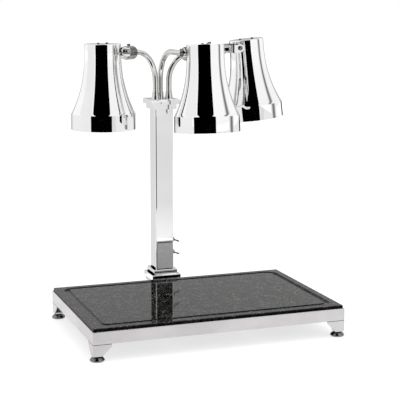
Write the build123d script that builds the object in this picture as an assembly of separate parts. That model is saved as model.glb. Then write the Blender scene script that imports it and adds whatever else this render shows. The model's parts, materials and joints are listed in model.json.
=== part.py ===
from build123d import *
import math
import os

# Three-lamp carving station: a steel frame on four feet carries a stone board, and a
# square post behind the board carries three bent arms, each with a bell-shaped lamp.
# Millimetres. Origin: centre of the frame on the surface that it stands on.
# +X right, -Y to the front, +Z up.

# ---- base frame ----
frame_x = 610.0            # outside length of the frame
frame_y = 400.0            # outside depth of the frame
foot_h = 13.0
leg_h = 27.0
rail_h = 28.5
sheet = 2.0                # sheet thickness of rails and legs
ledge_w = 18.0             # inward ledge that carries the board
leg_top_w = 43.0
leg_foot_w = 22.0
leg_lip = 6.0              # upright edge at the outer end of each gusset
leg_tab_h = 10.0           # tab that is welded inside the rail
rail_z = foot_h + leg_h
frame_top = rail_z + rail_h

# ---- board ----
board_gap = 0.4            # clearance between the board and the rails
board_rise = 7.5           # the board stands this much above the frame
board_t = 20.0
pad_t = 2.0
pad_size = 12.0
groove_in = 18.0           # from the board's edge to the juice groove
groove_w = 13.0
groove_depth = 3.2
groove_corner = 26.0
board_top = frame_top + board_rise
board_z = board_top - board_t
ledge_z = board_z - pad_t
board_x = frame_x - 2 * sheet - 2 * board_gap
board_y = frame_y - 2 * sheet - 2 * board_gap

# ---- feet ----
foot_r = 17.0
foot_inset = 12.0          # foot centre from the frame's outside faces
stud_r = 4.0
running = 0.05             # radial clearance of running fits

# ---- post, plinth and cap ----
post_y = 251.0
post_w = 48.0
post_wall = 2.0
post_corner = 3.0
step_out = 7.0             # each plinth or cap plate stands out this much more
step_h = 12.7
post_exposed = 416.0
post_z = frame_top + 2 * step_h
post_top = post_z + post_exposed
cap_z = post_top + step_h
cap_top = cap_z + step_h
cap_skirt_wall = 2.5
rod_r = 3.0
rod_dy = -14.0
shelf_t = 5.0
shelf_w = 70.0

# ---- arms ----
tube_r = 7.0
tube_wall = 1.2
bend_r = 75.0
ferrule_h = 18.5
ferrule_r = 10.6           # at its foot
ferrule_neck_r = 8.3
lamp_reach = 116.0         # lamp axis to the near end of the knuckle sleeve
sleeve_len = 34.0
sleeve_r = 17.0
tube_grip = 22.0           # length of tube inside the sleeve
arm_drop = 25.0            # the arm's run lies this far below the lamp's top

# ---- lamps ----
lamp_top = 681.0
lamp_h = 204.0
lamp_wall = 1.2
neck_r = 44.3
flare_start = 30.0         # below the lamp's top
flare_r = 303.0
band_start = 164.0
band_r = 77.0
rim_r = 77.5
pivot_drop = 18.0          # pivot axis below the lamp's top
pivot_in = 30.0            # pivot axis from the lamp's axis, towards the post
yoke_half = 41.5           # half the inside width of the yoke
yoke_back = 54.0           # inside face of the yoke's back from the lamp's axis
yoke_corner = 12.0
yoke_t = 3.5
yoke_h = 20.0
ear_w = 20.0
spacer_r = 5.0
screw_pitch = 32.0
bulb_r = 63.5
bulb_top = 16.0            # below the lamp's top
bulb_len = 165.0
glass_t = 1.2

# name, socket position on the cap, heading of the arm, reach, lean of the lamp
ARMS = [
    ("left", -18.0, -8.0, -145.0, 206.0, 0.0),
    ("centre", 0.0, 8.0, -86.0, 284.0, 3.5),
    ("right", 18.0, -8.0, -5.5, 206.0, 6.0),
]

# ---- switches ----
switch_z = [133.0, 166.5]
lever_drop = 22.0          # degrees below level with the switch off
lever_pivot = 5.0          # pivot of the lever outside the post's face
lever_len = 19.0
lever_ball_r = 2.7
lever_r = 1.9
bush_r = 5.5
bush_len = 8.5
gland_z = 112.0            # empty cable gland on the post's rear face


def box(x0, x1, y0, y1, z0, z1):
    size = (x1 - x0, y1 - y0, z1 - z0)
    centre = ((x0 + x1) / 2, (y0 + y1) / 2, (z0 + z1) / 2)
    return Pos(*centre) * Box(*size)


def rod(x, y, z, r, h):
    return Pos(x, y, z) * Cylinder(r, h, align=(Align.CENTER, Align.CENTER, Align.MIN))


def prism(points, h, z=0.0):
    return extrude(Pos(0, 0, z) * make_face(Polyline(*points, close=True)), amount=h)


def turned(wire):
    """Solid of revolution about Z from a closed outline in the XZ plane."""
    return revolve(make_face(wire), Axis.Z)


def outline(points):
    """Closed outline in the XZ plane from (radius, height) points."""
    return Polyline(*[(r, 0, z) for r, z in points], close=True)


def square_plate(w, z, h, hole=None, edge=1.2):
    plate = Pos(0, post_y, z) * Box(w, w, h, align=(Align.CENTER, Align.CENTER, Align.MIN))
    top = plate.edges().group_by(Axis.Z)[-1]
    plate = fillet(top, edge)
    if hole:
        plate -= Pos(0, post_y, z - 1) * Box(hole, hole, h + 2, align=(Align.CENTER, Align.CENTER, Align.MIN))
    return plate


# ---------------------------------------------------------------- base frame
def rail(length, depth):
    """Mitred rail along X with its outside face at y = -depth / 2."""
    hx, hy = length / 2, depth / 2
    wall = [(-hx, -hy), (hx, -hy), (hx - sheet, -hy + sheet), (-hx + sheet, -hy + sheet)]
    inner = sheet + ledge_w
    ledge = [(-hx, -hy), (hx, -hy), (hx - inner, -hy + inner), (-hx + inner, -hy + inner)]
    body = prism(wall, rail_h, rail_z)
    body += prism(ledge, sheet, ledge_z - sheet)
    outer = body.edges().filter_by(Axis.X).group_by(Axis.Y)[0].sort_by(Axis.Z)[-1]
    return fillet(outer, 0.8)


def leg_face(w_top, w_foot, y0):
    """One face of a leg in the XZ plane, its corner at x = 0, thickness along +Y from y0."""
    pts = [
        (0, y0, foot_h),
        (w_foot, y0, foot_h),
        (w_top, y0, rail_z - leg_lip),
        (w_top, y0, rail_z),
        (0, y0, rail_z),
    ]
    face = make_face(Polyline(*pts, close=True))
    return extrude(face, amount=sheet, dir=(0, 1, 0))


def leg():
    """Front-left leg, corner at the origin in plan."""
    front = leg_face(leg_top_w, leg_foot_w, 0)
    side = mirror(front, about=Plane((0, 0, 0), z_dir=(1, -1, 0)))
    sole = box(0, leg_foot_w, 0, leg_foot_w, foot_h, foot_h + 3)
    tab_z = rail_z + leg_tab_h
    tab_x = box(sheet, leg_top_w, sheet, 2 * sheet, rail_z - 4, tab_z)
    tab_y = box(sheet, 2 * sheet, sheet, leg_top_w, rail_z - 4, tab_z)
    body = front + side + sole + tab_x + tab_y
    return body - rod(foot_inset, foot_inset, foot_h - 1, stud_r + running, 5)


def foot():
    """Low dome on a stud, centred on Z."""
    dome = [
        Line((0, 0, 0), (foot_r - 2.5, 0, 0)),
        Line((foot_r - 2.5, 0, 0), (foot_r - 0.6, 0, 1.4)),
        ThreePointArc((foot_r - 0.6, 0, 1.4), (foot_r, 0, 3.4), (foot_r - 1.2, 0, 5.4)),
        ThreePointArc((foot_r - 1.2, 0, 5.4), (foot_r - 5.4, 0, 9.6), (6.6, 0, 11.6)),
        Line((6.6, 0, 11.6), (6.6, 0, foot_h)),
        Line((6.6, 0, foot_h), (0, 0, foot_h)),
        Line((0, 0, foot_h), (0, 0, 0)),
    ]
    return turned(Wire(dome)) + rod(0, 0, foot_h - 1, stud_r, 19)


def corner_places():
    hx, hy = frame_x / 2, frame_y / 2
    return {
        "front_left": (-hx, -hy, 1, 1),
        "front_right": (hx, -hy, -1, 1),
        "back_left": (-hx, hy, 1, -1),
        "back_right": (hx, hy, -1, -1),
    }


def placed_leg(x, y, sx, sy):
    body = leg()
    if sx < 0:
        body = mirror(body, about=Plane.YZ)
    if sy < 0:
        body = mirror(body, about=Plane.XZ)
    return Pos(x, y, 0) * body


# ---------------------------------------------------------------- board
def rounded(w, d, r, h, z):
    return extrude(Pos(0, 0, z) * RectangleRounded(w, d, r), amount=h)


def board():
    slab = box(-board_x / 2, board_x / 2, -board_y / 2, board_y / 2, board_z, board_top)
    slab = fillet(slab.edges().filter_by(Axis.Z), 3.0)
    slab = fillet(slab.edges().group_by(Axis.Z)[-1], 2.4)
    out_w = board_x - 2 * groove_in
    out_d = board_y - 2 * groove_in
    cut = rounded(out_w, out_d, groove_corner, 6, board_top - groove_depth)
    cut -= rounded(
        out_w - 2 * groove_w,
        out_d - 2 * groove_w,
        groove_corner - groove_w,
        6,
        board_top - groove_depth,
    )
    cut = fillet(cut.edges().group_by(Axis.Z)[0], 2.6)
    return slab - cut


def board_pads():
    pads = []
    inset = sheet + ledge_w / 2
    for sx in (-1, -0.33, 0.33, 1):
        for sy in (-1, 1):
            x = sx * (frame_x / 2 - inset - 20)
            y = sy * (frame_y / 2 - inset)
            half = pad_size / 2
            pads.append(box(x - half, x + half, y - half, y + half, ledge_z, board_z))
    return Compound(children=pads)


def board_supports():
    """Two flat bars under the board, from the front rail's ledge to the back rail's ledge."""
    bars = []
    reach = frame_y / 2 - sheet - 1
    for x in (-100.0, 100.0):
        bars.append(box(x - 10, x + 10, -reach, reach, ledge_z - sheet - 3, ledge_z - sheet))
    return Compound(children=bars)


# ---------------------------------------------------------------- post
def rear_bracket():
    y0 = frame_y / 2
    y1 = post_y + post_w / 2 + 2 * step_out - 3
    half = shelf_w / 2
    body = box(-half, half, y0, y1, frame_top - shelf_t, frame_top)
    body += box(-half, half, y0, y0 + 4, rail_z + 2, frame_top)
    for sx in (-1, 1):
        side = [(y0, rail_z + 2), (y0, frame_top), (y1, frame_top), (y1, frame_top - 9)]
        x = sx * (half - 1.5)
        pts = [(x - 1.5, y, z) for y, z in side]
        body += extrude(make_face(Polyline(*pts, close=True)), amount=3, dir=(1, 0, 0))
    return body - rod(0, post_y + rod_dy, frame_top - shelf_t - 1, rod_r + 0.2, shelf_t + 2)


def bracket_screws():
    screws = []
    for x in (-22.0, 22.0):
        for z in (rail_z + 7, rail_z + 19):
            head = Cylinder(4.5, 3.0, align=(Align.CENTER, Align.CENTER, Align.MIN))
            head = fillet(head.edges().group_by(Axis.Z)[-1], 1.2)
            head -= Pos(0, 0, 1.5) * extrude(RegularPolygon(2.0, 6), amount=3)
            screws.append(Pos(x, frame_y / 2 + 4, z) * Rot(-90, 0, 0) * head)
    return Compound(children=screws)


def post():
    z0 = frame_top
    outer = Pos(0, post_y, z0) * Box(post_w, post_w, post_top - z0, align=(Align.CENTER, Align.CENTER, Align.MIN))
    outer = fillet(outer.edges().filter_by(Axis.Z), post_corner)
    inner_w = post_w - 2 * post_wall
    outer -= Pos(0, post_y, z0) * Box(inner_w, inner_w, 600, align=(Align.CENTER, Align.CENTER, Align.MIN))
    for z in switch_z:
        outer -= Pos(post_w / 2, post_y, z) * Rot(0, 90, 0) * Cylinder(bush_r + 0.1, 8)
    return outer - Pos(0, post_y + post_w / 2, gland_z) * Rot(90, 0, 0) * Cylinder(8.1, 8)


def cap_collar():
    w = post_w + 2 * step_out
    body = square_plate(w, post_top, step_h, None, 0.8)
    hollow = w - 2 * cap_skirt_wall
    body -= box(-hollow / 2, hollow / 2, post_y - hollow / 2, post_y + hollow / 2, post_top + 2.5, cap_z + 1)
    hole = post_w - 2 * post_wall - 2
    return body - box(-hole / 2, hole / 2, post_y - hole / 2, post_y + hole / 2, post_top - 1, cap_z)


def cap_plate():
    body = square_plate(post_w + 4 * step_out, cap_z, step_h, None, 1.2)
    for name, dx, dy, heading, reach, lean in ARMS:
        body -= rod(dx, post_y + dy, cap_z - 1, tube_r + 0.3, step_h + 2)
    return body - rod(0, post_y + rod_dy, cap_z - 1, rod_r + 0.05, 9)


def tie_rod():
    z0 = frame_top - shelf_t - 8
    body = rod(0, post_y + rod_dy, z0, rod_r, cap_z + 7 - z0)
    nut = extrude(RegularPolygon(6.2, 6), amount=5)
    body += Pos(0, post_y + rod_dy, frame_top - shelf_t - 5) * nut
    return body


def ferrule(dx, dy):
    """Conical ferrule on the cap that the riser of an arm turns in."""
    bore = tube_r + running
    pts = [
        (bore, 0),
        (ferrule_r, 0),
        (ferrule_r, 2.0),
        (ferrule_neck_r, 12.0),
        (ferrule_neck_r, 13.2),
        (ferrule_neck_r + 0.6, 14.0),
        (ferrule_neck_r + 0.6, ferrule_h - 1.2),
        (ferrule_neck_r - 0.2, ferrule_h),
        (bore, ferrule_h),
    ]
    return Pos(dx, post_y + dy, cap_top) * turned(outline(pts))


# ---------------------------------------------------------------- electrical parts
def cord_gland():
    """Empty cable gland on the post's rear face."""
    pts = [
        (4.0, -6.0),
        (8.0, -6.0),
        (8.0, 0.0),
        (11.5, 0.0),
        (11.5, 4.0),
        (10.0, 5.0),
        (9.6, 12.0),
        (7.0, 16.0),
        (4.0, 16.0),
    ]
    body = turned(outline(pts))
    nut = extrude(RegularPolygon(11.0, 6), amount=3.5) - Cylinder(8.0, 12)
    body += Pos(0, 0, -post_wall - 3.5) * nut
    return Pos(0, post_y + post_w / 2, gland_z) * Rot(-90, 0, 0) * body


def terminal_block():
    x0 = -post_w / 2 + post_wall
    body = box(x0, x0 + 14, post_y - 8, post_y + 12, 190, 226)
    for z in (199, 208, 217):
        body -= Pos(x0 + 14, post_y + 2, z) * Rot(0, 90, 0) * Cylinder(2.4, 8)
    return body


def switch_bodies():
    parts = []
    inner = post_w / 2 - post_wall
    for z in switch_z:
        case = box(inner - 20, inner, post_y - 6.5, post_y + 6.5, z - 13, z + 13)
        bush = Pos(inner, post_y, z) * Rot(0, 90, 0) * switch_bush()
        parts.append(case + bush)
    return Compound(children=parts)


def switch_bush():
    """Threaded bush that the lever comes out of, along +Z from the case."""
    mouth = post_wall + bush_len
    pts = [
        (3.0, 0.0),
        (bush_r, 0.0),
        (bush_r, mouth),
        (4.6, mouth),
        (3.0, post_wall + lever_pivot),
    ]
    return turned(outline(pts))


def switch_nuts():
    nuts = []
    for z in switch_z:
        nut = extrude(RegularPolygon(8.4, 6), amount=2.2) - Cylinder(bush_r, 10)
        nuts.append(Pos(post_w / 2, post_y, z) * Rot(0, 90, 0) * nut)
    return Compound(children=nuts)


def lever(z):
    """Toggle lever with its ball and pivot pin, tapering outwards to a round end."""
    pts = [
        (0, 0),
        (lever_r, 0),
        (lever_r + 0.2, lever_len - 5),
        (lever_r + 0.6, lever_len - 2.5),
        (lever_r, lever_len - 0.6),
        (0, lever_len),
    ]
    body = turned(outline(pts)) + Sphere(lever_ball_r)
    body += Rot(90, 0, 0) * Cylinder(1.0, 2 * lever_ball_r)
    return Pos(post_w / 2 + lever_pivot, post_y, z) * Rot(0, 90 + lever_drop, 0) * body


# ---------------------------------------------------------------- arms
def arm_frame(dx, dy, heading):
    """Origin on the tube's axis at the board's datum, X along the arm."""
    return Pos(dx, post_y + dy, 0) * Rot(0, 0, heading)


def run_z():
    return lamp_top - arm_drop


def arm_tube(reach):
    """Riser, bend and run of one arm, along +X from the post."""
    end = reach - lamp_reach + tube_grip
    z0 = cap_z - 9
    top = run_z()
    riser = Line((0, 0, z0), (0, 0, top - bend_r))
    half_turn = bend_r * math.sqrt(0.5)
    middle = (bend_r - half_turn, 0, top - bend_r + half_turn)
    bend = ThreePointArc((0, 0, top - bend_r), middle, (bend_r, 0, top))
    run = Line((bend_r, 0, top), (end, 0, top))
    path = Wire([riser, bend, run])
    section = Plane((0, 0, z0), z_dir=(0, 0, 1))
    outer = sweep(section * Circle(tube_r), path=path)
    inner = sweep(section * Circle(tube_r - tube_wall), path=path)
    return outer - inner


def arm_nut():
    """Locknut that holds the riser under the cap."""
    nut = extrude(RegularPolygon(8.6, 6), amount=6) - Cylinder(tube_r + 0.02, 30)
    return Pos(0, 0, cap_z - 6.4) * nut


def sleeve(reach):
    """Grooved sleeve that clamps the arm's end, its axis along X."""
    pts = [(tube_r, 0), (sleeve_r - 2.5, 0), (sleeve_r, 2.0)]
    groove = 4
    pitch = (sleeve_len - 8) / groove
    for i in range(groove):
        x = 5.0 + i * pitch
        pts += [(sleeve_r, x), (sleeve_r - 1.2, x + 1.0), (sleeve_r - 1.2, x + 2.4), (sleeve_r, x + 3.4)]
    pts += [(sleeve_r, sleeve_len - 2), (sleeve_r - 1.5, sleeve_len), (tube_r, sleeve_len)]
    body = turned(outline(pts))
    body = Pos(reach - lamp_reach, 0, run_z()) * Rot(0, 90, 0) * body
    hole = rod(reach - lamp_reach + sleeve_len / 2, 0, run_z(), 2.5, 40)
    return body - hole


def clamp_screw(reach):
    """Knurled screw in the top of the sleeve, bearing on the tube."""
    z0 = run_z() + tube_r
    top = run_z() + sleeve_r
    head = rod(0, 0, top, 4.2, 5.0)
    head = fillet(head.edges().group_by(Axis.Z)[-1], 1.0)
    body = rod(0, 0, z0, 2.5, top - z0) + head
    return Pos(reach - lamp_reach + sleeve_len / 2, 0, 0) * body


def yoke(reach):
    """Neck and U-shaped yoke with two round ears, from the sleeve to the lamp's pivot."""
    px = reach - pivot_in
    pz = lamp_top - pivot_drop
    back = reach - yoke_back
    wide = yoke_half + yoke_t
    low = pz - 2 - yoke_h / 2
    high = low + yoke_h
    body = box(back - yoke_t, px, -wide, wide, low, high)
    body = fillet(body.edges().filter_by(Axis.Z).group_by(Axis.X)[0], yoke_corner)
    room = box(back, px + 1, -yoke_half, yoke_half, low - 1, high + 1)
    room = fillet(room.edges().filter_by(Axis.Z).group_by(Axis.X)[0], yoke_corner - yoke_t)
    body -= room
    for side in (-1, 1):
        ear = Rot(90, 0, 0) * Cylinder(ear_w / 2, yoke_t)
        body += Pos(px, side * (yoke_half + yoke_t / 2), pz) * ear
    start = reach - lamp_reach + sleeve_len
    stop = back - yoke_t + 1
    neck = Cone(12.0, 9.5, stop - start, align=(Align.CENTER, Align.CENTER, Align.MIN))
    body += Pos(start, 0, run_z()) * Rot(0, 90, 0) * neck
    flange = Pos(start + 2, 0, run_z()) * Rot(0, 90, 0) * Cylinder(14.5, 4)
    body += flange
    for side in (-1, 1):
        hole = Rot(90, 0, 0) * Cylinder(2.5 + running, 12)
        body -= Pos(px, side * (yoke_half + yoke_t / 2), pz) * hole
    return body


# ---------------------------------------------------------------- lamps
def lamp_place(reach, lean):
    """Lamp frame: its top centre at the origin, hung from the pivot and leant outwards."""
    pivot = Pos(reach - pivot_in, 0, lamp_top - pivot_drop)
    return pivot * Rot(0, -lean, 0) * Pos(pivot_in, 0, pivot_drop)


def flare_point(depth):
    """Outside radius of the bell at a depth below its top."""
    s = (depth - flare_start) / flare_r
    return neck_r + flare_r * (1 - math.sqrt(1 - s * s))


def shell_edge(t):
    """Open outline of the bell, t inside its outer face, from the top centre to the rim."""
    r_end = flare_point(band_start) - t
    mid = (flare_start + band_start) / 2
    corner = 2.4 - t
    arc_mid = 0.7071 * corner
    top = -t
    neck_x = neck_r - t
    return [
        Line((0, 0, top), (neck_x - corner, 0, top)),
        ThreePointArc(
            (neck_x - corner, 0, top),
            (neck_x - corner + arc_mid, 0, top - corner + arc_mid),
            (neck_x, 0, top - corner),
        ),
        Line((neck_x, 0, top - corner), (neck_x, 0, -flare_start)),
        ThreePointArc(
            (neck_x, 0, -flare_start),
            (flare_point(mid) - t, 0, -mid),
            (r_end, 0, -band_start),
        ),
        Line((r_end, 0, -band_start), (band_r - t, 0, -band_start - 3)),
        Line((band_r - t, 0, -band_start - 3), (rim_r - t, 0, -lamp_h)),
    ]


def neck_half(x):
    """Half-width of the bell's neck at a distance from its axis."""
    return math.sqrt(neck_r**2 - x**2)


def shade():
    outer = shell_edge(0.0) + [
        Line((rim_r, 0, -lamp_h), (0, 0, -lamp_h)),
        Line((0, 0, -lamp_h), (0, 0, 0)),
    ]
    inner = shell_edge(lamp_wall) + [
        Line((rim_r - lamp_wall, 0, -lamp_h), (0, 0, -lamp_h)),
        Line((0, 0, -lamp_h), (0, 0, -lamp_wall)),
    ]
    body = turned(Wire(outer)) - turned(Wire(inner))
    for side in (-1, 1):
        body -= Pos(side * screw_pitch / 2, 0, 0) * Cylinder(2.05, 10)
        body -= Pos(-pivot_in, side * neck_half(pivot_in), -pivot_drop) * Rot(90, 0, 0) * Cylinder(2.55, 20)
    return body


def socket():
    """Porcelain lamp holder under the bell's top."""
    pts = [
        (0, -lamp_wall),
        (21.0, -lamp_wall),
        (21.0, -9.0),
        (18.0, -12.0),
        (18.0, -42.0),
        (14.2, -42.0),
        (14.2, -15.0),
        (0, -15.0),
    ]
    body = turned(outline(pts))
    for side in (-1, 1):
        body -= Pos(side * screw_pitch / 2, 0, -5) * Cylinder(2.05, 8)
    return body


def bulb_edge(t):
    """Closed outline of the bulb, t inside its outer face."""
    z0 = -bulb_top - t
    face = -bulb_top - bulb_len + t
    cap_r = 13.2 - t
    face_r = bulb_r - 7 - t
    face_rise = 8.0
    dome_r = (face_r ** 2 + face_rise ** 2) / (2 * face_rise)
    mid = face_r / 2
    mid_rise = dome_r - math.sqrt(dome_r ** 2 - mid ** 2)
    wide = bulb_r - t
    return [
        Line((0, 0, z0), (7.0, 0, z0)),
        Line((7.0, 0, z0), (cap_r, 0, z0 - 5)),
        Line((cap_r, 0, z0 - 5), (cap_r, 0, z0 - 27)),
        ThreePointArc((cap_r, 0, z0 - 27), (21.0 - t, 0, z0 - 52), (34.0 - t, 0, z0 - 78)),
        ThreePointArc((34.0 - t, 0, z0 - 78), (51.0 - t, 0, z0 - 108), (wide, 0, face + 20)),
        ThreePointArc((wide, 0, face + 20), (wide - 1.4, 0, face + 13), (face_r, 0, face + face_rise)),
        ThreePointArc((face_r, 0, face + face_rise), (mid, 0, face + mid_rise), (0, 0, face)),
        Line((0, 0, face), (0, 0, z0)),
    ]


def bulb():
    """Reflector infrared bulb: screw cap, neck, flared body and domed face."""
    body = turned(Wire(bulb_edge(0.0))) - turned(Wire(bulb_edge(glass_t)))
    return body - Pos(0, 0, -bulb_top) * Cylinder(2.0, 6)


def lamp_screws():
    """Two screws that hold the socket, and the two pivot screws with spacers and nuts."""
    parts = []
    for side in (-1, 1):
        head = rod(0, 0, 0, 3.6, 3.2)
        head = fillet(head.edges().group_by(Axis.Z)[-1], 1.2)
        shank = rod(0, 0, -8.5, 2.0, 8.6)
        parts.append(Pos(side * screw_pitch / 2, 0, 0) * (head + shank))
    outside = yoke_half + yoke_t
    spacer_in = neck_half(pivot_in - spacer_r) + 0.2
    nut_in = neck_half(pivot_in) - 11.2
    for side in (-1, 1):
        shank = rod(0, 0, nut_in, 2.5, outside - nut_in + 0.5)
        spacer = rod(0, 0, spacer_in, spacer_r, yoke_half - spacer_in - 0.2)
        head = rod(0, 0, outside + 0.2, 6.0, 4.2)
        head = fillet(head.edges().group_by(Axis.Z)[-1], 1.6)
        nut = Pos(0, 0, nut_in + 0.1) * extrude(RegularPolygon(4.6, 6), amount=3)
        screw = shank + spacer + head + nut
        turn = Rot(-90, 0, 0) if side > 0 else Rot(90, 0, 0)
        parts.append(Pos(-pivot_in, 0, -pivot_drop) * turn * screw)
    return Compound(children=parts)


def group(place, shape):
    """Moves a solid, or each solid of a group."""
    solids = shape.solids()
    if len(solids) == 1:
        return place * solids[0]
    return Compound(children=[place * s for s in solids])


def build():
    nodes = {
        "front_rail": rail(frame_x, frame_y),
        "back_rail": Rot(0, 0, 180) * rail(frame_x, frame_y),
        "left_rail": Rot(0, 0, -90) * rail(frame_y, frame_x),
        "right_rail": Rot(0, 0, 90) * rail(frame_y, frame_x),
        "board": board(),
        "board_pads": board_pads(),
        "board_supports": board_supports(),
        "rear_bracket": rear_bracket(),
        "bracket_screws": bracket_screws(),
        "plinth_lower": square_plate(post_w + 4 * step_out, frame_top, step_h, post_w + 0.2),
        "plinth_upper": square_plate(post_w + 2 * step_out, frame_top + step_h, step_h, post_w + 0.2),
        "post": post(),
        "cap_collar": cap_collar(),
        "cap_plate": cap_plate(),
        "tie_rod": tie_rod(),
        "cord_gland": cord_gland(),
        "terminal_block": terminal_block(),
        "switch_bodies": switch_bodies(),
        "switch_nuts": switch_nuts(),
        "lower_lever": lever(switch_z[0]),
        "upper_lever": lever(switch_z[1]),
    }
    for name, (x, y, sx, sy) in corner_places().items():
        nodes["leg_" + name] = placed_leg(x, y, sx, sy)
        nodes["foot_" + name] = Pos(x + sx * foot_inset, y + sy * foot_inset, 0) * foot()
    for name, dx, dy, heading, reach, lean in ARMS:
        arm = arm_frame(dx, dy, heading)
        lamp = arm * lamp_place(reach, lean)
        nodes["ferrule_" + name] = ferrule(dx, dy)
        nodes["arm_tube_" + name] = arm * arm_tube(reach)
        nodes["arm_nut_" + name] = arm * arm_nut()
        nodes["sleeve_" + name] = arm * sleeve(reach)
        nodes["clamp_screw_" + name] = arm * clamp_screw(reach)
        nodes["yoke_" + name] = arm * yoke(reach)
        nodes["shade_" + name] = lamp * shade()
        nodes["socket_" + name] = lamp * socket()
        nodes["bulb_" + name] = lamp * bulb()
        nodes["lamp_screws_" + name] = group(lamp, lamp_screws())
    return nodes


os.makedirs("parts", exist_ok=True)
for node, shape in build().items():
    export_step(shape, f"parts/{node}.step")
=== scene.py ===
import json
import math
import bmesh
import bpy
from mathutils import Matrix, Vector


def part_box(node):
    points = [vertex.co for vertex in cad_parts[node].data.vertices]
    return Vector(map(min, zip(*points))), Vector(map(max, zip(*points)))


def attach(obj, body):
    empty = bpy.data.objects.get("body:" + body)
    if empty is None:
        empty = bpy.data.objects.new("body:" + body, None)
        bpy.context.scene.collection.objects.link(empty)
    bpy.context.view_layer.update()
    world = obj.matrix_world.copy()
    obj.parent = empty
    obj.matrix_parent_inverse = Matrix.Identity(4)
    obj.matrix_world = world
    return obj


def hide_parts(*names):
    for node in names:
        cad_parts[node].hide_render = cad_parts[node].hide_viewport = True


# Looks of the three-lamp carving station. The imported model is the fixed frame; the pieces
# made here ride on its bodies. Pieces are drawn in millimetres in their own frame and placed
# in the mesh, so every object sits at the origin in metres.
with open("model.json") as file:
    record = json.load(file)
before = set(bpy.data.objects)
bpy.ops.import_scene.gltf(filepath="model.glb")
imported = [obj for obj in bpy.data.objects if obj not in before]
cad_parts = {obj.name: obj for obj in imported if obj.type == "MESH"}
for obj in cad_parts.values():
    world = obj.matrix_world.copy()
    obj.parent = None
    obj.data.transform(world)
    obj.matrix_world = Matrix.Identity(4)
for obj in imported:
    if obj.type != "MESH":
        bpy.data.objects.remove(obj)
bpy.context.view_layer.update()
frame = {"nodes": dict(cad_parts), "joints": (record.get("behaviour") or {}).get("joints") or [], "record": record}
nodes = frame["nodes"]
joints = {j["name"]: j for j in frame["joints"]}
scene = bpy.context.scene

MM = 0.001
LAMPS = ("left", "centre", "right")
LEAN = {"left": 0.0, "centre": 3.5, "right": 6.0}   # degrees outwards from plumb
CORNERS = ("front_left", "front_right", "back_left", "back_right")

# ---- lamp, in mm; heights are depths below the top of the bell ----
NECK_R = 44.3
FLARE_START = 30.0
FLARE_END = 164.0
FLARE_R = 303.0
BAND_R = 77.0
RIM_R = 77.5
BELL_H = 204.0
BELL_WALL = 1.2
FLARE_STEPS = 40
BULB_R = 63.5
BULB_TOP = 16.0
BULB_LEN = 165.0

# ---- fittings, in mm ----
PIVOT_IN = 30.0            # pivot axis from the lamp's axis, towards the post
PIVOT_DROP = 18.0          # pivot axis below the top of the bell
PIVOT_NUT = 21.5           # nut, spacer and head of a pivot screw, outwards along its axis
PIVOT_SPACER = (36.8, 41.3)
PIVOT_HEAD = 45.2
SCREW_PITCH = 32.0         # between the two screws on the bell's top
SLEEVE_IN = -86.0          # near end of an arm's sleeve from the lamp's pivot
SLEEVE_LEN = 34.0
SLEEVE_R = 17.0
BORE_R = 7.1               # round the arm's tube
LEVER_DROP = 22.0          # degrees below level with the switches off
SEAM_Z = 0.0394            # height of the painted shade line at the joint of the legs, in metres
SEAM_HALF = 0.0006

# ---- camera, in metres and degrees ----
CAMERA_PLACE = (-0.9217, -2.6101, 0.7908)
CAMERA_YAW = 19.744
CAMERA_PITCH = 9.802
CAMERA_LENS = 105.77


# ---------------------------------------------------------------- shader groups
def shader_group(name, inputs, outputs):
    """Empty node group; inputs and outputs are (label, kind, value) and (label, kind)."""
    tree = bpy.data.node_groups.new(name, "ShaderNodeTree")
    for label, kind, value in inputs:
        socket = tree.interface.new_socket(label, in_out="INPUT", socket_type=kind)
        socket.default_value = value
    for label, kind in outputs:
        tree.interface.new_socket(label, in_out="OUTPUT", socket_type=kind)
    return tree, tree.nodes.new("NodeGroupInput"), tree.nodes.new("NodeGroupOutput")


def grain_group():
    """Fine grain, stretched along one direction where the metal is brushed."""
    tree, given, result = shader_group(
        "grain",
        [
            ("Vector", "NodeSocketVector", (0, 0, 0)),
            ("Stretch", "NodeSocketVector", (1, 1, 1)),
            ("Scale", "NodeSocketFloat", 400.0),
            ("Low", "NodeSocketFloat", 0.02),
            ("High", "NodeSocketFloat", 0.06),
        ],
        [("Value", "NodeSocketFloat"), ("Height", "NodeSocketFloat")],
    )
    stretch = tree.nodes.new("ShaderNodeVectorMath")
    stretch.operation = "MULTIPLY"
    noise = tree.nodes.new("ShaderNodeTexNoise")
    noise.inputs["Detail"].default_value = 4.0
    spread = tree.nodes.new("ShaderNodeMapRange")
    spread.inputs["From Min"].default_value = 0.3
    spread.inputs["From Max"].default_value = 0.7
    link = tree.links.new
    link(given.outputs["Vector"], stretch.inputs[0])
    link(given.outputs["Stretch"], stretch.inputs[1])
    link(stretch.outputs["Vector"], noise.inputs["Vector"])
    link(given.outputs["Scale"], noise.inputs["Scale"])
    link(noise.outputs["Fac"], spread.inputs["Value"])
    link(given.outputs["Low"], spread.inputs["To Min"])
    link(given.outputs["High"], spread.inputs["To Max"])
    link(spread.outputs["Result"], result.inputs["Value"])
    link(noise.outputs["Fac"], result.inputs["Height"])
    return tree


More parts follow.
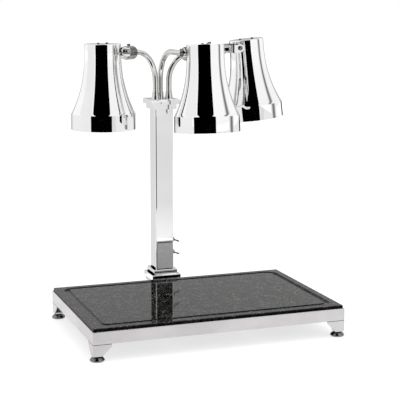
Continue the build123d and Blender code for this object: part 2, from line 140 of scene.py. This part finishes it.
def patches_group():
    """Broad soft patches, as wiping and handling leave, between two colours."""
    tree, given, result = shader_group(
        "patches",
        [
            ("Vector", "NodeSocketVector", (0, 0, 0)),
            ("Scale", "NodeSocketFloat", 12.0),
            ("Color A", "NodeSocketColor", (0.5, 0.5, 0.5, 1)),
            ("Color B", "NodeSocketColor", (0.6, 0.6, 0.6, 1)),
        ],
        [("Color", "NodeSocketColor"), ("Mask", "NodeSocketFloat")],
    )
    noise = tree.nodes.new("ShaderNodeTexNoise")
    noise.inputs["Detail"].default_value = 2.0
    spread = tree.nodes.new("ShaderNodeMapRange")
    spread.interpolation_type = "SMOOTHSTEP"
    spread.inputs["From Min"].default_value = 0.35
    spread.inputs["From Max"].default_value = 0.65
    mix = tree.nodes.new("ShaderNodeMix")
    mix.data_type = "RGBA"
    link = tree.links.new
    link(given.outputs["Vector"], noise.inputs["Vector"])
    link(given.outputs["Scale"], noise.inputs["Scale"])
    link(noise.outputs["Fac"], spread.inputs["Value"])
    link(spread.outputs["Result"], mix.inputs["Factor"])
    link(given.outputs["Color A"], mix.inputs["A"])
    link(given.outputs["Color B"], mix.inputs["B"])
    link(mix.outputs["Result"], result.inputs["Color"])
    link(spread.outputs["Result"], result.inputs["Mask"])
    return tree


GRAIN = grain_group()
PATCHES = patches_group()


# ---------------------------------------------------------------- materials
class Finish:
    """A material under construction: its node tree, its shader and its coordinates."""

    def __init__(self, name):
        self.material = bpy.data.materials.new(name)
        self.material.use_nodes = True
        self.tree = self.material.node_tree
        self.shader = self.tree.nodes["Principled BSDF"]
        self.place = self.tree.nodes.new("ShaderNodeTexCoord").outputs["Object"]

    def node(self, kind, **values):
        """New node with its inputs set; a label's spaces are written as underscores."""
        made = self.tree.nodes.new(kind)
        for label, value in values.items():
            made.inputs[label.replace("_", " ")].default_value = value
        return made

    def group(self, tree, **values):
        """Shared node group on the object's coordinates, with its inputs set."""
        made = self.tree.nodes.new("ShaderNodeGroup")
        made.node_tree = tree
        for label, value in values.items():
            made.inputs[label.replace("_", " ")].default_value = value
        self.link(self.place, made.inputs["Vector"])
        return made

    def link(self, out, into):
        """Joins an output to an input."""
        self.tree.links.new(out, into)

    def set(self, label, value):
        """Sets a constant on the shader."""
        self.shader.inputs[label].default_value = value

    def bump(self, height, strength, distance):
        """Fine relief from a height; the distance is in metres."""
        bump = self.node("ShaderNodeBump", Strength=strength, Distance=distance)
        self.link(height, bump.inputs["Height"])
        self.link(bump.outputs["Normal"], self.shader.inputs["Normal"])


def metal(name, dark, light, rough, scale=500.0, stretch=(1, 1, 1), relief=0.02, patch=9.0):
    """Metal with grain in its roughness and broad patches in its colour."""
    finish = Finish(name)
    finish.set("Metallic", 1.0)
    patches = finish.group(PATCHES, Scale=patch, Color_A=(*dark, 1), Color_B=(*light, 1))
    finish.link(patches.outputs["Color"], finish.shader.inputs["Base Color"])
    grain = finish.group(GRAIN, Scale=scale, Stretch=stretch, Low=rough[0], High=rough[1])
    finish.link(grain.outputs["Value"], finish.shader.inputs["Roughness"])
    finish.bump(grain.outputs["Height"], relief, 0.0002)
    return finish.material


def satin_steel(name, stretch):
    """Brushed stainless steel; the grain runs along the direction with the small stretch."""
    return metal(name, (0.56, 0.54, 0.545), (0.62, 0.60, 0.605), (0.26, 0.42),
                 scale=300.0, stretch=stretch, relief=0.05)


def painted_seam_shade_steel(name, stretch):
    """Satin steel of the legs, with a near-black band of painted shade along the joint line where they meet the
    rails.
    """
    steel = satin_steel(name, stretch)
    tree = steel.node_tree
    shader = tree.nodes["Principled BSDF"]
    colour = shader.inputs["Base Color"].links[0].from_socket
    place = tree.nodes.new("ShaderNodeTexCoord")
    height = tree.nodes.new("ShaderNodeSeparateXYZ")
    line = tree.nodes.new("ShaderNodeMath")
    line.operation = "COMPARE"
    line.inputs[1].default_value = SEAM_Z
    line.inputs[2].default_value = SEAM_HALF
    mix = tree.nodes.new("ShaderNodeMix")
    mix.data_type = "RGBA"
    # painted shade: near-black colour along the joint line, standing for the shadow in the joint
    mix.inputs["B"].default_value = (0.04, 0.04, 0.04, 1)
    tree.links.new(place.outputs["Object"], height.inputs["Vector"])
    tree.links.new(height.outputs["Z"], line.inputs[0])
    tree.links.new(line.outputs["Value"], mix.inputs["Factor"])
    tree.links.new(colour, mix.inputs["A"])
    tree.links.new(mix.outputs["Result"], shader.inputs["Base Color"])
    return steel


def moulded(name, dark, light, rough, scale=900.0, relief=0.15, coat=0.0):
    """Moulded, cast or glazed material with a fine skin texture."""
    finish = Finish(name)
    patches = finish.group(PATCHES, Scale=40.0, Color_A=(*dark, 1), Color_B=(*light, 1))
    finish.link(patches.outputs["Color"], finish.shader.inputs["Base Color"])
    grain = finish.group(GRAIN, Scale=scale, Low=rough[0], High=rough[1])
    finish.link(grain.outputs["Value"], finish.shader.inputs["Roughness"])
    finish.bump(grain.outputs["Height"], relief, 0.0003)
    finish.set("Coat Weight", coat)
    finish.set("Coat Roughness", 0.04)
    return finish.material


def granite():
    """Polished black granite: dark crystals and fine grey mica flecks; its edges are honed, and its sides' colour
    is darkened as painted shade.
    """
    finish = Finish("granite")
    crystals = finish.node("ShaderNodeTexVoronoi", Scale=420.0, Randomness=1.0)
    flecks = finish.node("ShaderNodeTexVoronoi", Scale=300.0, Randomness=1.0)
    clouds = finish.node("ShaderNodeTexNoise", Scale=38.0, Detail=5.0, Roughness=0.6)
    for texture in (crystals, flecks, clouds):
        finish.link(finish.place, texture.inputs["Vector"])
    shades = finish.node("ShaderNodeValToRGB")
    ramp = shades.color_ramp
    ramp.elements[0].position = 0.10
    ramp.elements[0].color = (0.001, 0.001, 0.001, 1)
    ramp.elements[1].position = 0.95
    ramp.elements[1].color = (0.030, 0.031, 0.029, 1)
    middle = ramp.elements.new(0.60)
    middle.color = (0.006, 0.006, 0.006, 1)
    split = finish.node("ShaderNodeSeparateColor")
    finish.link(crystals.outputs["Color"], split.inputs["Color"])
    finish.link(split.outputs["Red"], shades.inputs["Fac"])
    pick = finish.node("ShaderNodeSeparateColor")
    finish.link(flecks.outputs["Color"], pick.inputs["Color"])
    bright = finish.node("ShaderNodeMapRange", From_Min=0.66, From_Max=0.96)
    finish.link(pick.outputs["Green"], bright.inputs["Value"])
    thin = finish.node("ShaderNodeMapRange", From_Min=0.36, From_Max=0.56)
    finish.link(clouds.outputs["Fac"], thin.inputs["Value"])
    share = finish.tree.nodes.new("ShaderNodeMath")
    share.operation = "MULTIPLY"
    finish.link(bright.outputs["Result"], share.inputs[0])
    finish.link(thin.outputs["Result"], share.inputs[1])
    mix = finish.tree.nodes.new("ShaderNodeMix")
    mix.data_type = "RGBA"
    mix.inputs["B"].default_value = (0.13, 0.135, 0.12, 1)
    finish.link(share.outputs["Value"], mix.inputs["Factor"])
    finish.link(shades.outputs["Color"], mix.inputs["A"])
    polish = finish.group(GRAIN, Scale=260.0, Low=0.03, High=0.10)
    finish.link(polish.outputs["Value"], finish.shader.inputs["Roughness"])
    finish.bump(polish.outputs["Height"], 0.02, 0.0002)
    upright = finish.tree.nodes.new("ShaderNodeNewGeometry")
    facing = finish.tree.nodes.new("ShaderNodeSeparateXYZ")
    honed = finish.node("ShaderNodeMapRange", From_Min=0.2, From_Max=0.9, To_Min=0.04, To_Max=0.5)
    finish.link(upright.outputs["Normal"], facing.inputs["Vector"])
    finish.link(facing.outputs["Z"], honed.inputs["Value"])
    finish.link(honed.outputs["Result"], finish.shader.inputs["Specular IOR Level"])
    # painted shade: the colour falls to 0.12 of itself on the upright sides, so the sides read darker than the top
    painted_side_shade = finish.node("ShaderNodeMapRange", From_Min=0.2, From_Max=0.9, To_Min=0.12, To_Max=1.0)
    finish.link(facing.outputs["Z"], painted_side_shade.inputs["Value"])
    edge = finish.tree.nodes.new("ShaderNodeVectorMath")
    edge.operation = "SCALE"
    finish.link(mix.outputs["Result"], edge.inputs[0])
    finish.link(painted_side_shade.outputs["Result"], edge.inputs["Scale"])
    finish.link(edge.outputs["Vector"], finish.shader.inputs["Base Color"])
    finish.set("IOR", 1.42)     # lower than bare stone's
    return finish.material


CHROME = metal("chrome", (0.90, 0.90, 0.905), (0.95, 0.95, 0.95), (0.012, 0.03), relief=0.004)
STEEL_X = satin_steel("satin_steel_x", (0.03, 3.0, 3.0))
STEEL_Y = satin_steel("satin_steel_y", (3.0, 0.03, 3.0))
LEG_STEEL = painted_seam_shade_steel("leg_steel", (0.03, 3.0, 3.0))
ZINC = metal("zinc_plated_steel", (0.50, 0.50, 0.48), (0.66, 0.66, 0.62), (0.22, 0.40), scale=700.0)
NICKEL = metal("bright_nickel", (0.66, 0.66, 0.65), (0.74, 0.74, 0.73), (0.02, 0.06), relief=0.006)
# dark nickel; on the feet its darkness is a painted reflection of the dark surroundings that chrome domes mirror
DARK_NICKEL_AND_PAINTED_REFLECTION = metal("dark_nickel_and_painted_reflection", (0.17, 0.17, 0.17), (0.24, 0.24, 0.24), (0.05, 0.12), relief=0.01)
GREY_NICKEL = metal("grey_nickel", (0.40, 0.40, 0.39), (0.48, 0.48, 0.47), (0.03, 0.08), relief=0.008)
BRASS = metal("brass", (0.72, 0.50, 0.22), (0.82, 0.60, 0.30), (0.18, 0.34), scale=700.0)
SILVERING = metal("bulb_silvering", (0.80, 0.80, 0.79), (0.90, 0.90, 0.89), (0.10, 0.22), scale=120.0)
GRANITE = granite()
RUBBER = moulded("rubber", (0.018, 0.018, 0.018), (0.035, 0.034, 0.033), (0.65, 0.85), relief=0.4)
PORCELAIN = moulded("porcelain", (0.80, 0.79, 0.75), (0.88, 0.87, 0.84), (0.12, 0.22), relief=0.05, coat=0.6)
BLACK_PLASTIC = moulded("black_plastic", (0.014, 0.014, 0.015), (0.028, 0.028, 0.028), (0.38, 0.55))
CREAM_PLASTIC = moulded("cream_plastic", (0.70, 0.66, 0.55), (0.78, 0.74, 0.63), (0.40, 0.55))
RED_LACQUER = moulded("red_lacquer", (0.34, 0.010, 0.006), (0.46, 0.022, 0.010), (0.10, 0.24),
                      scale=300.0, relief=0.05, coat=1.0)

BY_SLOT = {
    "polished_frame": STEEL_X,
    "chrome": CHROME,
    "granite": GRANITE,
    "rubber": RUBBER,
    "steel": ZINC,
    "porcelain": PORCELAIN,
    "bulb_glass": RED_LACQUER,
    "black_plastic": BLACK_PLASTIC,
    "cream_plastic": CREAM_PLASTIC,
}


def dress_cad_nodes():
    """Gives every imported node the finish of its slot, or the one its place asks for."""
    for part in frame["record"]["subparts"]:
        name = part["node"]
        material = BY_SLOT[part["material_slot"]]
        if name in ("left_rail", "right_rail", "board_supports", "rear_bracket"):
            material = STEEL_Y
        elif name.startswith("leg_"):
            material = LEG_STEEL
        elif name == "switch_nuts":
            material = GREY_NICKEL
        elif name.startswith(("arm_tube_", "yoke_")):
            material = NICKEL
        nodes[name].data.materials.clear()
        nodes[name].data.materials.append(material)


# ---------------------------------------------------------------- building pieces
def arc(centre_r, centre_z, radius, start, stop, steps):
    """Points of an arc in an outline, angles in degrees from +r towards +z."""
    angles = [math.radians(start + (stop - start) * i / steps) for i in range(steps + 1)]
    return [(centre_r + radius * math.cos(a), centre_z + radius * math.sin(a)) for a in angles]


def spun(outline, steps=96):
    """Bmesh of an outline of (radius, height) points turned about Z."""
    bm = bmesh.new()
    verts = [bm.verts.new((r, 0, z)) for r, z in outline]
    edges = [bm.edges.new(pair) for pair in zip(verts, verts[1:])]
    bmesh.ops.spin(bm, geom=verts + edges, cent=(0, 0, 0), axis=(0, 0, 1),
                   angle=math.tau, steps=steps, use_merge=True)
    bmesh.ops.remove_doubles(bm, verts=bm.verts, dist=1e-4)
    bmesh.ops.recalc_face_normals(bm, faces=bm.faces)
    return bm


def piece(name, bm, place, body, material, replaces=(), crease=35.0):
    """Finishes a bmesh drawn in mm as a piece of the object."""
    bmesh.ops.transform(bm, matrix=place @ Matrix.Scale(MM, 4), verts=bm.verts)
    limit = math.radians(crease)
    for face in bm.faces:
        face.smooth = True
    for edge in bm.edges:
        edge.smooth = len(edge.link_faces) == 2 and edge.calc_face_angle(0.0) < limit
    mesh = bpy.data.meshes.new(name)
    bm.to_mesh(mesh)
    bm.free()
    mesh.materials.append(material)
    made = bpy.data.objects.new(name, mesh)
    scene.collection.objects.link(made)
    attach(made, body)
    if replaces:
        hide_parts(*replaces)
    return made


def heading(lamp):
    """Turn about Z that points +X along this lamp's arm."""
    x, y, z = joints[lamp + "_lamp_tilt"]["axis"]
    return Matrix.Rotation(math.atan2(x, -y), 4, "Z")


def lamp_place(lamp):
    """Frame of a lamp: origin at the bell's top centre, Z along its axis, X away from the post."""
    pivot = Vector(joints[lamp + "_lamp_tilt"]["pos_m"])
    lean = Matrix.Rotation(-math.radians(LEAN[lamp]), 4, "Y")
    offset = Matrix.Translation((PIVOT_IN * MM, 0, PIVOT_DROP * MM))
    return Matrix.Translation(pivot) @ heading(lamp) @ lean @ offset


# ---------------------------------------------------------------- lamps
def flare_radius(depth, inset):
    """Radius of the flare at a depth below the bell's top, inset from the outside."""
    s = (depth - FLARE_START) / FLARE_R
    return NECK_R + FLARE_R * (1 - math.sqrt(1 - s * s)) - inset


def bell_side(inset):
    """Outline of the bell's wall from its top centre to its rim, inset from the outside."""
    corner = 2.4 - inset
    side = [(0.0, -inset), (20.0, -inset)]
    side += arc(NECK_R - 2.4, -2.4, corner, 90, 0, 12)
    side.append((NECK_R - inset, -FLARE_START))
    for i in range(1, FLARE_STEPS + 1):
        depth = FLARE_START + (FLARE_END - FLARE_START) * i / FLARE_STEPS
        side.append((flare_radius(depth, inset), -depth))
    side += [(BAND_R - inset, -FLARE_END - 2.0), (RIM_R - inset, -BELL_H + 0.6)]
    return side


def bell(lamp, place, body):
    """Spun bell: neck, flare, shoulder, band and a rolled rim."""
    outer = bell_side(0.0)
    inner = bell_side(BELL_WALL)
    rim = arc(RIM_R - BELL_WALL / 2, -BELL_H + 0.6, BELL_WALL / 2, 0, -180, 16)
    piece("bell_" + lamp, spun(outer + rim + inner[::-1], 144), place, body, CHROME,
          ("shade_" + lamp,), crease=13.0)


def bulb(lamp, place, body):
    """Reflector bulb: screw cap, silvered back and red face."""
    top = -BULB_TOP
    face = -BULB_TOP - BULB_LEN
    cap = [(0.0, top), (7.0, top), (7.6, top - 2), (12.0, top - 5)]
    for i in range(7):
        z = top - 6 - 3 * i
        cap += [(12.4, z), (13.2, z - 0.9), (13.2, z - 1.5), (12.4, z - 2.4)]
    cap += [(13.0, top - 27), (0.0, top - 27)]
    piece("bulb_cap_" + lamp, spun(cap, 48), place, body, BRASS, ("bulb_" + lamp,))
    back = [(12.6, top - 26), (14.2, top - 32), (17.0, top - 42), (21.0, top - 52), (26.5, top - 64)]
    back += [(34.0, top - 78), (42.6, top - 92), (51.0, top - 108), (58.0, top - 125)]
    back += [(62.0, top - 137), (BULB_R, face + 20)]
    piece("bulb_back_" + lamp, spun(back, 96), place, body, SILVERING)
    front = [(BULB_R, face + 20), (63.3, face + 17), (62.1, face + 13.5), (60.0, face + 10.6)]
    dome_r = (56.5 ** 2 + 8 ** 2) / 16
    for i in range(9):
        r = 56.5 * (1 - i / 8)
        front.append((r, face + dome_r - math.sqrt(dome_r ** 2 - r ** 2)))
    piece("bulb_face_" + lamp, spun(front, 96), place, body, RED_LACQUER)


# ---------------------------------------------------------------- fittings
def turned_to(direction):
    """Turn that lays an outline's Z along a direction."""
    return Vector(direction).to_track_quat("Z", "Y").to_matrix().to_4x4()


def knurled(radius, height, teeth, waist):
    """Finger screw head standing on its origin, with straight knurling and a domed top."""
    side = [(0.0, 0.0), (waist, 0.0), (waist, 0.8), (radius, 1.2), (radius, height - 1.3)]
    top = arc(radius - 1.3, height - 1.3, 1.3, 15, 90, 5)
    bm = spun(side + top + [(0.0, height + 0.15)], 2 * teeth)
    for vert in bm.verts:
        reach = math.hypot(vert.co.x, vert.co.y)
        step = round(math.atan2(vert.co.y, vert.co.x) / (math.pi / teeth))
        if reach > radius - 0.05 and step % 2:
            vert.co.x *= 1 - 0.4 / reach
            vert.co.y *= 1 - 0.4 / reach
    return bm


def screw_head(radius, height, socket):
    """Domed screw head standing on its origin, with a round socket sunk in its top."""
    edge = height * 0.45
    side = [(0.0, 0.0), (radius, 0.0), (radius, edge)]
    for i in range(1, 8):
        a = math.radians(90 * i / 9)
        side.append((radius * math.cos(a) ** 0.7, edge + (height - edge) * math.sin(a)))
    side += [(socket, height), (socket - 0.2, height - 0.2), (socket - 0.2, edge)]
    side.append((0.0, edge - 0.3))
    return spun(side, 48)


def foot_dome():
    """Screw foot: domed skirt over a wear ring, with its stud."""
    side = [(0.0, 0.0), (13.6, 0.0), (14.4, 0.5), (14.6, 1.5), (16.0, 1.6)]
    side += arc(15.2, 3.4, 1.8, -60, 50, 8)
    side += [(15.1, 6.6), (13.4, 8.3), (11.2, 9.8), (8.8, 10.9), (6.9, 11.4)]
    side += [(6.3, 11.8), (6.3, 12.9), (4.0, 12.9)]
    for i in range(14):
        z = 13.2 + 1.25 * i
        side += [(4.0, z), (3.5, z + 0.6)]
    side += [(3.6, 30.9), (0.0, 30.9)]
    return spun(side, 64)


def feet():
    """Screw feet under the frame's corners."""
    for corner in CORNERS:
        low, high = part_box("foot_" + corner)
        place = Matrix.Translation(((low[0] + high[0]) / 2, (low[1] + high[1]) / 2, 0))
        # dark metal as painted reflection: the chrome domes look dark from the dark surroundings they mirror
        piece("screw_foot_" + corner, foot_dome(), place, "foot_" + corner, DARK_NICKEL_AND_PAINTED_REFLECTION,
              ("foot_" + corner,), crease=40.0)


def collar():
    """Ribbed sleeve on the end of an arm."""
    side = [(BORE_R, 0.0), (14.2, 0.0), (15.4, 0.5), (16.2, 1.6)]
    for i in range(6):
        z = 2.6 + 4.8 * i
        side += [(15.0, z), (16.4, z + 0.3), (SLEEVE_R, z + 1.0), (SLEEVE_R, z + 2.4)]
        side += [(16.4, z + 3.1), (15.0, z + 3.4)]
    side += [(15.0, 31.6), (15.9, 32.2), (15.4, 33.4), (14.6, SLEEVE_LEN)]
    side += [(BORE_R, SLEEVE_LEN), (BORE_R, 0.0)]
    return spun(side, 72)


def ferrule():
    """Cone that the riser of an arm stands in, with a bead round its mouth."""
    side = [(BORE_R, 0.0), (10.6, 0.0), (10.6, 1.7), (10.2, 2.1), (8.5, 11.8), (8.3, 13.0)]
    side += arc(8.2, 14.4, 0.8, -80, 80, 8)
    side += [(8.3, 15.8), (8.2, 17.7), (7.6, 18.4), (BORE_R, 18.4), (BORE_R, 0.0)]
    return spun(side, 64)


def arm_fittings():
    """Collar and finger screw at the end of each arm, and the cone at its foot."""
    for lamp in LAMPS:
        body = joints[lamp + "_arm_swing"]["child"]
        pivot = Vector(joints[lamp + "_lamp_tilt"]["pos_m"])
        arm = Matrix.Translation(pivot) @ heading(lamp)
        low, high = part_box("sleeve_" + lamp)
        run = (low[2] + high[2]) / 2 - pivot.z
        start = Matrix.Translation((SLEEVE_IN * MM, 0, run))
        piece("collar_" + lamp, collar(), arm @ start @ turned_to((1, 0, 0)), body,
              GREY_NICKEL, ("sleeve_" + lamp,), crease=40.0)
        top = Matrix.Translation(((SLEEVE_IN + SLEEVE_LEN / 2) * MM, 0, run + SLEEVE_R * MM))
        piece("finger_screw_" + lamp, knurled(4.2, 4.85, 18, 3.2), arm @ top, body,
              DARK_NICKEL_AND_PAINTED_REFLECTION, ("clamp_screw_" + lamp,), crease=30.0)
        low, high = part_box("ferrule_" + lamp)
        foot = Matrix.Translation(((low[0] + high[0]) / 2, (low[1] + high[1]) / 2, low[2]))
        piece("cone_" + lamp, ferrule(), foot, "base", NICKEL,
              ("ferrule_" + lamp,), crease=40.0)


def socket_screws(lamp, place, body):
    """Socket screws on the bell's top and pivot screws with spacers at its sides."""
    bm = bmesh.new()
    scrap = bpy.data.meshes.new("scrap")
    near, far = PIVOT_SPACER
    for side in (-1, 1):
        parts = [(screw_head(3.6, 3.1, 1.7), Matrix.Translation((side * SCREW_PITCH / 2, 0, 0)))]
        pivot = Matrix.Translation((-PIVOT_IN, 0, -PIVOT_DROP)) @ turned_to((0, side, 0))
        head_place = pivot @ Matrix.Translation((0, 0, PIVOT_HEAD))
        parts.append((screw_head(6.0, 4.1, 2.6), head_place))
        spacer = [(2.5, near), (4.6, near), (5.0, near + 0.4), (5.0, far - 0.4), (4.6, far), (2.5, far)]
        parts.append((spun(spacer, 48), pivot))
        shank = [(0.0, PIVOT_NUT), (2.2, PIVOT_NUT), (2.5, PIVOT_NUT + 0.4), (2.5, PIVOT_HEAD)]
        parts.append((spun(shank + [(0.0, PIVOT_HEAD)], 32), pivot))
        nut = [(0.0, PIVOT_NUT), (4.6, PIVOT_NUT), (4.6, PIVOT_NUT + 3), (0.0, PIVOT_NUT + 3)]
        parts.append((spun(nut, 6), pivot))
        for made, where in parts:
            bmesh.ops.transform(made, matrix=where, verts=made.verts)
            made.to_mesh(scrap)
            made.free()
            bm.from_mesh(scrap)
    bpy.data.meshes.remove(scrap)
    piece("screws_" + lamp, bm, place, body, DARK_NICKEL_AND_PAINTED_REFLECTION, ("lamp_screws_" + lamp,), crease=40.0)


def switches():
    """Toggle levers with their balls."""
    for name in ("lower", "upper"):
        pivot = Matrix.Translation(joints[name + "_switch"]["pos_m"])
        droop = Matrix.Rotation(math.radians(90 + LEVER_DROP), 4, "Y")
        ball = arc(0.0, 0.0, 2.7, -90, 42, 12)
        stem = [(1.9, 3.2), (1.95, 8.0), (2.15, 14.0), (2.4, 16.2), (2.45, 17.4), (2.1, 18.4)]
        stem += [(1.4, 18.85), (0.0, 19.0)]
        piece("toggle_" + name, spun(ball + stem, 48), pivot @ droop, name + "_lever", DARK_NICKEL_AND_PAINTED_REFLECTION,
              (name + "_lever",), crease=40.0)


def lamps():
    """Bells, bulbs and screws of the three lamps."""
    for lamp in LAMPS:
        place = lamp_place(lamp)
        bell(lamp, place, "lamp_" + lamp)
        bulb(lamp, place, "lamp_" + lamp)
        socket_screws(lamp, place, "lamp_" + lamp)


# ---------------------------------------------------------------- studio
def reflected_only(name, bm, brightness, fade=None, second=False):
    """Stage card that shows in reflections alone; fade is (near, far, brightness near) in metres.

    A second card shows only in a reflection of a reflection.
    """
    mesh = bpy.data.meshes.new(name)
    bm.to_mesh(mesh)
    bm.free()
    finish = Finish(name)
    finish.set("Base Color", (0, 0, 0, 1))
    finish.set("Roughness", 1.0)
    finish.set("Specular IOR Level", 0.0)
    finish.set("Emission Color", (1, 1, 1, 1))
    finish.set("Emission Strength", brightness)
    if fade:
        distance = finish.tree.nodes.new("ShaderNodeVectorMath")
        distance.operation = "LENGTH"
        ramp = finish.node("ShaderNodeMapRange", From_Min=fade[0], From_Max=fade[1],
                           To_Min=fade[2], To_Max=brightness)
        finish.link(finish.place, distance.inputs[0])
        finish.link(distance.outputs["Value"], ramp.inputs["Value"])
        finish.link(ramp.outputs["Result"], finish.shader.inputs["Emission Strength"])
    if second:
        path = finish.tree.nodes.new("ShaderNodeLightPath")
        later = finish.tree.nodes.new("ShaderNodeMath")
        later.operation = "GREATER_THAN"
        later.inputs[1].default_value = 1.5     # between the first bounce and the second
        finish.link(path.outputs["Ray Depth"], later.inputs[0])
        finish.link(later.outputs["Value"], finish.shader.inputs["Alpha"])
    mesh.materials.append(finish.material)
    made = bpy.data.objects.new(name, mesh)
    made.visible_camera = False
    made.visible_diffuse = False
    made.visible_shadow = False
    made.visible_transmission = False
    scene.collection.objects.link(made)


def swept_card(name, near, far, start, stop, brightness, fade=None, second=False):
    """Card swept about Z from one (radius, height) to another; azimuths in degrees from +X."""
    bm = bmesh.new()
    turn = Matrix.Rotation(math.radians(start), 4, "Z")
    ends = [bm.verts.new(turn @ Vector((radius, 0, z))) for radius, z in (near, far)]
    edge = bm.edges.new(ends)
    bmesh.ops.spin(bm, geom=ends + [edge], cent=(0, 0, 0), axis=(0, 0, 1),
                   angle=math.radians(stop - start), steps=48)
    reflected_only(name, bm, brightness, fade, second)


def floor():
    """Plain pale ground."""
    bm = bmesh.new()
    bmesh.ops.create_circle(bm, cap_ends=True, segments=96, radius=25.0)
    mesh = bpy.data.meshes.new("floor")
    bm.to_mesh(mesh)
    bm.free()
    finish = Finish("floor")
    finish.set("Base Color", (0.38, 0.38, 0.38, 1))
    finish.set("Emission Color", (1, 1, 1, 1))
    finish.set("Emission Strength", 0.72)
    finish.set("Roughness", 0.9)
    finish.set("Specular IOR Level", 0.1)
    mesh.materials.append(finish.material)
    made = bpy.data.objects.new("floor", mesh)
    scene.collection.objects.link(made)


def softbox(name, place, aim, size, power):
    """Square soft light aimed at a point, kept out of reflections."""
    light = bpy.data.lights.new(name, "AREA")
    light.shape = "SQUARE"
    light.size = size
    light.energy = power
    made = bpy.data.objects.new(name, light)
    made.location = place
    made.visible_glossy = False
    made.rotation_euler = (Vector(aim) - Vector(place)).to_track_quat("-Z", "Y").to_euler()
    scene.collection.objects.link(made)


def studio():
    """White surroundings, ground, cards (radius and height in metres) and one soft light."""
    world = bpy.data.worlds.new("studio")
    world.use_nodes = True
    world.node_tree.nodes["Background"].inputs["Color"].default_value = (1, 1, 1, 1)
    world.node_tree.nodes["Background"].inputs["Strength"].default_value = 1.0
    scene.world = world
    floor()
    swept_card("black_card", (2.5, 0.0), (2.5, 5.5), -155, -79, 0.0)
    swept_card("black_floor", (2.5, 0.006), (1.15, 0.006), -155, -79, 0.0)
    swept_card("black_ceiling", (2.5, 5.5), (0.2, 5.5), -165, -60, 0.0)
    swept_card("front_flag", (0.787, 0.32), (0.787, 0.60), -75, -55, 0.0, second=True)
    swept_card("back_flag", (1.25, 0.20), (1.25, 0.60), 98, 114, 0.0, second=True)
    swept_card("grey_card", (3.0, 0.5), (3.0, 1.8), 35, 104, 0.50)
    swept_card("black_skirting", (2.98, 0.0), (2.98, 0.5), 35, 100, 0.04)
    steps = ((12, 0.86), (9, 0.68), (6.5, 0.45), (4, 0.20))
    for i, (half, brightness) in enumerate(steps):
        near = 2.80 - 0.02 * i
        swept_card(f"right_strip_{i}", (near, 0.0), (near, 4.0), -17 - half, -17 + half, brightness)
    swept_card("left_card", (2.8, 0.0), (2.8, 4.0), 150, 200, 0.90)
    swept_card("floor_ring", (0.62, 0.004), (7.0, 0.004), -180, 180, 0.90)
    swept_card("floor_front", (0.6, 0.008), (7.0, 0.008), -77, -64, 0.78, (0.65, 1.3, 0.97))
    swept_card("floor_back", (0.55, 0.008), (7.0, 0.008), 98, 118, 0.76)
    softbox("overhead", (0.4, -0.6, 3.2), (0, 0, 0.3), 2.4, 28.0)


def camera():
    """Camera that looks down on the station from its front left."""
    data = bpy.data.cameras.new("camera")
    data.lens = CAMERA_LENS
    data.sensor_width = 36.0
    data.clip_end = 100.0
    made = bpy.data.objects.new("camera", data)
    made.location = CAMERA_PLACE
    made.rotation_euler = (math.radians(90 - CAMERA_PITCH), 0, -math.radians(CAMERA_YAW))
    scene.collection.objects.link(made)
    scene.camera = made


dress_cad_nodes()
lamps()
arm_fittings()
feet()
switches()
camera()
studio()
scene.view_settings.view_transform = "Standard"
